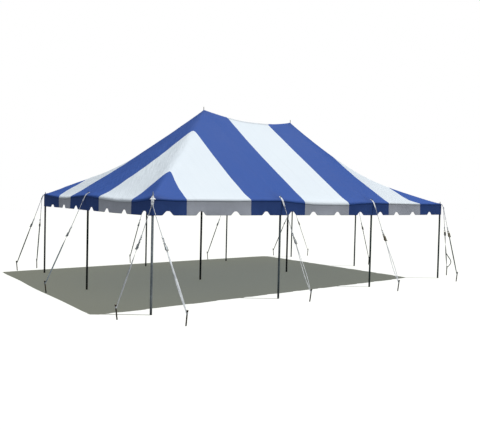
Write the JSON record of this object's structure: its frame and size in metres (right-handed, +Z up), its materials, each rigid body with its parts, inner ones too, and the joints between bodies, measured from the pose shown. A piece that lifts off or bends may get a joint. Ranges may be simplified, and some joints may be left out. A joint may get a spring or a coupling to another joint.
{
  "type": "pole party tent",
  "caption": "Rectangular pole marquee: a striped fabric top peaked over its centre poles, a notched valance, side poles at the eave, and ratchet guys down to ground stakes.",
  "frame": {"origin": "on the ground, at the middle of the plan", "axes": "+X along the long side, to the right when facing the front; +Y from the front to the back; +Z up"},
  "size_m": [11.026, 8.2578, 4.485],
  "materials": {
    "striped_vinyl": "coated fabric in wide blue and white stripes",
    "galvanised_steel": "dull weathered zinc",
    "forged_steel": "bare and slightly rusted",
    "webbing": "woven polyester",
    "ratchet_steel": "dark bronze plating"
  },
  "bodies": {
    "root": {"canopy": "striped_vinyl", "valance_front": "striped_vinyl", "valance_back": "striped_vinyl", "valance_left": "striped_vinyl", "valance_right": "striped_vinyl", "corner_pole_front_left": "galvanised_steel", "corner_pole_front_right": "galvanised_steel", "corner_pole_back_left": "galvanised_steel", "corner_pole_back_right": "galvanised_steel", "side_pole_front_a": "galvanised_steel", "side_pole_front_b": "galvanised_steel", "side_pole_back_a": "galvanised_steel", "side_pole_back_b": "galvanised_steel", "side_pole_left": "galvanised_steel", "side_pole_right": "galvanised_steel", "centre_pole_left": "galvanised_steel", "centre_pole_right": "galvanised_steel", "guy_front_a": "webbing", "guy_front_b": "webbing", "guy_back_a": "webbing", "guy_back_b": "webbing", "guy_left": "webbing", "guy_right": "webbing", "guy_corner_front_left": "webbing", "guy_corner_front_right": "webbing", "guy_corner_back_left": "webbing", "guy_corner_back_right": "webbing", "ratchet_front_a": "ratchet_steel", "ratchet_front_b": "ratchet_steel", "ratchet_back_a": "ratchet_steel", "ratchet_back_b": "ratchet_steel", "ratchet_left": "ratchet_steel", "ratchet_right": "ratchet_steel", "ratchet_corner_front_left_a": "ratchet_steel", "ratchet_corner_front_left_b": "ratchet_steel", "ratchet_corner_front_right_a": "ratchet_steel", "ratchet_corner_front_right_b": "ratchet_steel", "ratchet_corner_back_left_a": "ratchet_steel", "ratchet_corner_back_left_b": "ratchet_steel", "ratchet_corner_back_right_a": "ratchet_steel", "ratchet_corner_back_right_b": "ratchet_steel", "stake_front_a": "forged_steel", "stake_front_b": "forged_steel", "stake_back_a": "forged_steel", "stake_back_b": "forged_steel", "stake_left": "forged_steel", "stake_right": "forged_steel", "stake_corner_front_left_a": "forged_steel", "stake_corner_front_left_b": "forged_steel", "stake_corner_front_right_a": "forged_steel", "stake_corner_front_right_b": "forged_steel", "stake_corner_back_left_a": "forged_steel", "stake_corner_back_left_b": "forged_steel", "stake_corner_back_right_a": "forged_steel", "stake_corner_back_right_b": "forged_steel"}
  },
  "joints": []
}
